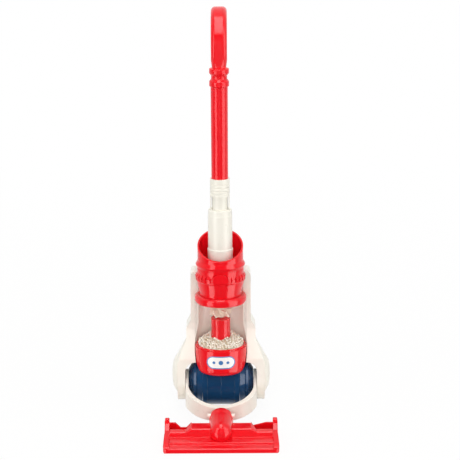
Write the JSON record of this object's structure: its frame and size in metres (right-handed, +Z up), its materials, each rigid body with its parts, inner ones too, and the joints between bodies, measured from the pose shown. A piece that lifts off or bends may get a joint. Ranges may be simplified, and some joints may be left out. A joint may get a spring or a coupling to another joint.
{
  "type": "toy upright vacuum cleaner",
  "caption": "Toy upright vacuum cleaner with a rolling ball in a yoke, tilting floor head, clear bead bin with a whirl fan, push button and a lift-out wand with a hooked handle.",
  "frame": {"origin": "centre of the floor head's sole, on the floor", "axes": "+Z up, -Y towards the front edge of the floor head, +X to the right seen from the front"},
  "size_m": [0.18, 0.3305, 0.6254],
  "materials": {
    "red_plastic": "glossy moulded red",
    "ivory_plastic": "satin moulded ivory",
    "navy_plastic": "glossy moulded navy",
    "clear_plastic": "clear moulded",
    "cream_plastic": "matt cream",
    "bead_foam": "foamed beads",
    "black_plastic": "matt black",
    "cell_wrap": "wrapped cell",
    "steel": "plain steel"
  },
  "bodies": {
    "yoke": {"u_yoke": "ivory_plastic", "axle": "steel", "axle_caps": "steel"},
    "ball": {"ball_left": "navy_plastic", "ball_right": "navy_plastic"},
    "head": {"head_shell": "red_plastic", "sole_plate": "red_plastic", "sole_screws": "steel", "neck_hood": "red_plastic"},
    "main_body": {"front_body": "ivory_plastic", "rear_body": "ivory_plastic", "side_cover_left": "ivory_plastic", "side_cover_right": "ivory_plastic", "body_screws": "steel", "battery_cover": "ivory_plastic", "cover_screw": "steel", "battery_cells": "cell_wrap", "battery_contacts": "steel", "bin_base": "red_plastic", "bin_clear": "clear_plastic", "bin_lid": "red_plastic", "motor_tower": "red_plastic", "motor": "steel", "beads": "bead_foam", "funnel": "red_plastic", "wand_cup": "red_plastic", "switch": "black_plastic", "button_spring": "steel"},
    "button": {"push_button": "red_plastic"},
    "fan": {"motor_shaft": "steel", "whirl_fan": "cream_plastic"},
    "wand": {"wand_tube": "ivory_plastic", "connector": "ivory_plastic", "handle_pipe": "red_plastic", "handle_grip": "red_plastic"}
  },
  "joints": [
    {"name": "ball_roll", "type": "hinge", "parent": "yoke", "child": "ball", "pos_m": [0, 0.1315, 0.042], "axis": [1, 0, 0], "continuous": true},
    {"name": "head_tilt", "type": "hinge", "parent": "yoke", "child": "head", "pos_m": [0, 0.035, 0.0295], "axis": [1, 0, 0], "range_deg": [-8, 12]},
    {"name": "body_recline", "type": "hinge", "parent": "yoke", "child": "main_body", "pos_m": [0, 0.1315, 0.042], "axis": [-1, 0, 0], "range_deg": [0, 45]},
    {"name": "button_press", "type": "slide", "parent": "main_body", "child": "button", "axis": [0, 0.9848, -0.1736], "range_m": [0, 0.002], "stiffness_N_per_m": 400, "springref_m": -0.0006, "deforming": ["button_spring"]},
    {"name": "fan_spin", "type": "hinge", "parent": "main_body", "child": "fan", "pos_m": [0, 0.13768, 0.15768], "axis": [0, 0.1736, 0.9848], "continuous": true},
    {"name": "wand_lift", "type": "slide", "parent": "main_body", "child": "wand", "axis": [0, 0.1736, 0.9848], "range_m": [0, 0.045]}
  ]
}
